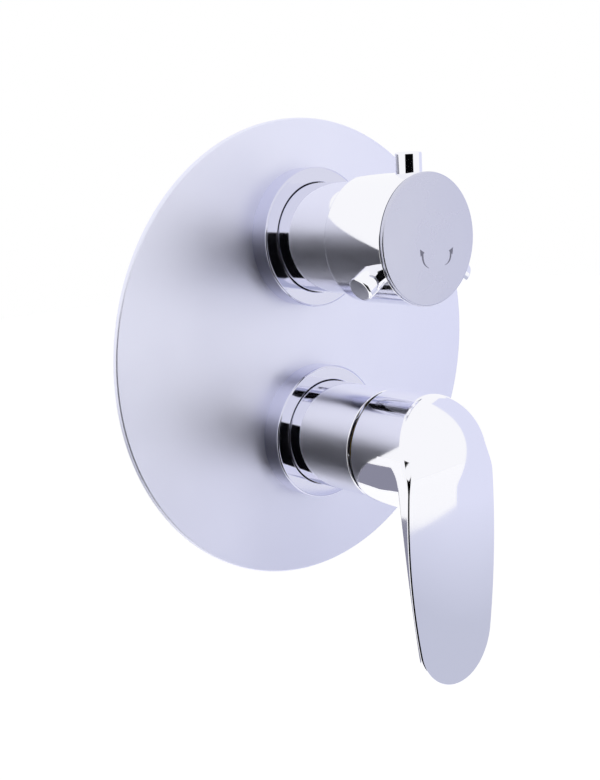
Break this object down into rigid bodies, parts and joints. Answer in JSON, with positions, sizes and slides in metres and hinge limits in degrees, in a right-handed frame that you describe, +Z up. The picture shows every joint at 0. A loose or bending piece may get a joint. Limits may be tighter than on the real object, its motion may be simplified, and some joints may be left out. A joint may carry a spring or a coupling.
{
  "type": "shower diverter valve",
  "caption": "Concealed single-lever shower mixer on a round chrome cover plate, with a pinned diverter knob above a hanging paddle lever and a brass body behind the wall.",
  "frame": {"origin": "centre of the cover plate on the wall plane", "axes": "+Z up, -Y out of the wall into the room, +X to the right of a person who faces the wall"},
  "size_m": [0.19, 0.1153, 0.2198],
  "materials": {
    "chrome": "polished chrome plate",
    "brass": "sand-cast and turned brass",
    "rubber": "moulded nitrile rubber",
    "plastic": "moulded acetal",
    "ceramic": "lapped alumina",
    "steel": "stainless steel"
  },
  "bodies": {
    "valve": {"cover_plate": "chrome", "upper_collar": "chrome", "lower_collar": "chrome", "diverter_sleeve": "chrome", "mixer_shroud": "chrome", "valve_body": "brass", "diverter_bonnet": "brass", "sleeve_locknut": "brass", "cartridge_nut": "brass", "wall_seal": "rubber", "upper_collar_seal": "rubber", "lower_collar_seal": "rubber", "shroud_ring": "rubber", "base_seal": "rubber", "diverter_seat_seal": "rubber", "cartridge_base": "plastic", "cartridge_housing": "plastic", "mixer_fixed_disc": "ceramic", "diverter_fixed_disc": "ceramic"},
    "diverter_knob": {"diverter_knob": "chrome", "knob_cap": "chrome", "knob_screw": "steel", "knob_pin_1": "chrome", "knob_pin_2": "chrome", "knob_pin_3": "chrome", "diverter_spindle": "brass", "diverter_moving_disc": "ceramic"},
    "mixer_rotor": {"mixer_rotor": "plastic", "pivot_pin": "steel"},
    "lever": {"lever_handle": "chrome", "lever_spindle": "brass", "lever_set_screw": "steel"},
    "mixing_disc": {"mixer_moving_disc": "ceramic", "disc_carrier": "plastic"}
  },
  "joints": [
    {"name": "diverter_turn", "type": "hinge", "parent": "valve", "child": "diverter_knob", "pos_m": [0, -0.04, 0.0471], "axis": [0, -1, 0], "range_deg": [-90, 90]},
    {"name": "lever_swing", "type": "hinge", "parent": "valve", "child": "mixer_rotor", "pos_m": [0, -0.037, -0.0342], "axis": [0, -1, 0], "range_deg": [-45, 45]},
    {"name": "lever_lift", "type": "hinge", "parent": "mixer_rotor", "child": "lever", "pos_m": [0, -0.037, -0.0342], "axis": [-1, 0, 0], "range_deg": [0, 20]},
    {"name": "disc_slide", "type": "slide", "parent": "mixer_rotor", "child": "mixing_disc", "axis": [0, 0, -1], "range_m": [0, 0.0037]}
  ],
  "couplings": [
    {"joint": "disc_slide", "follows": "lever_lift", "m_per_rad": 0.01045}
  ]
}
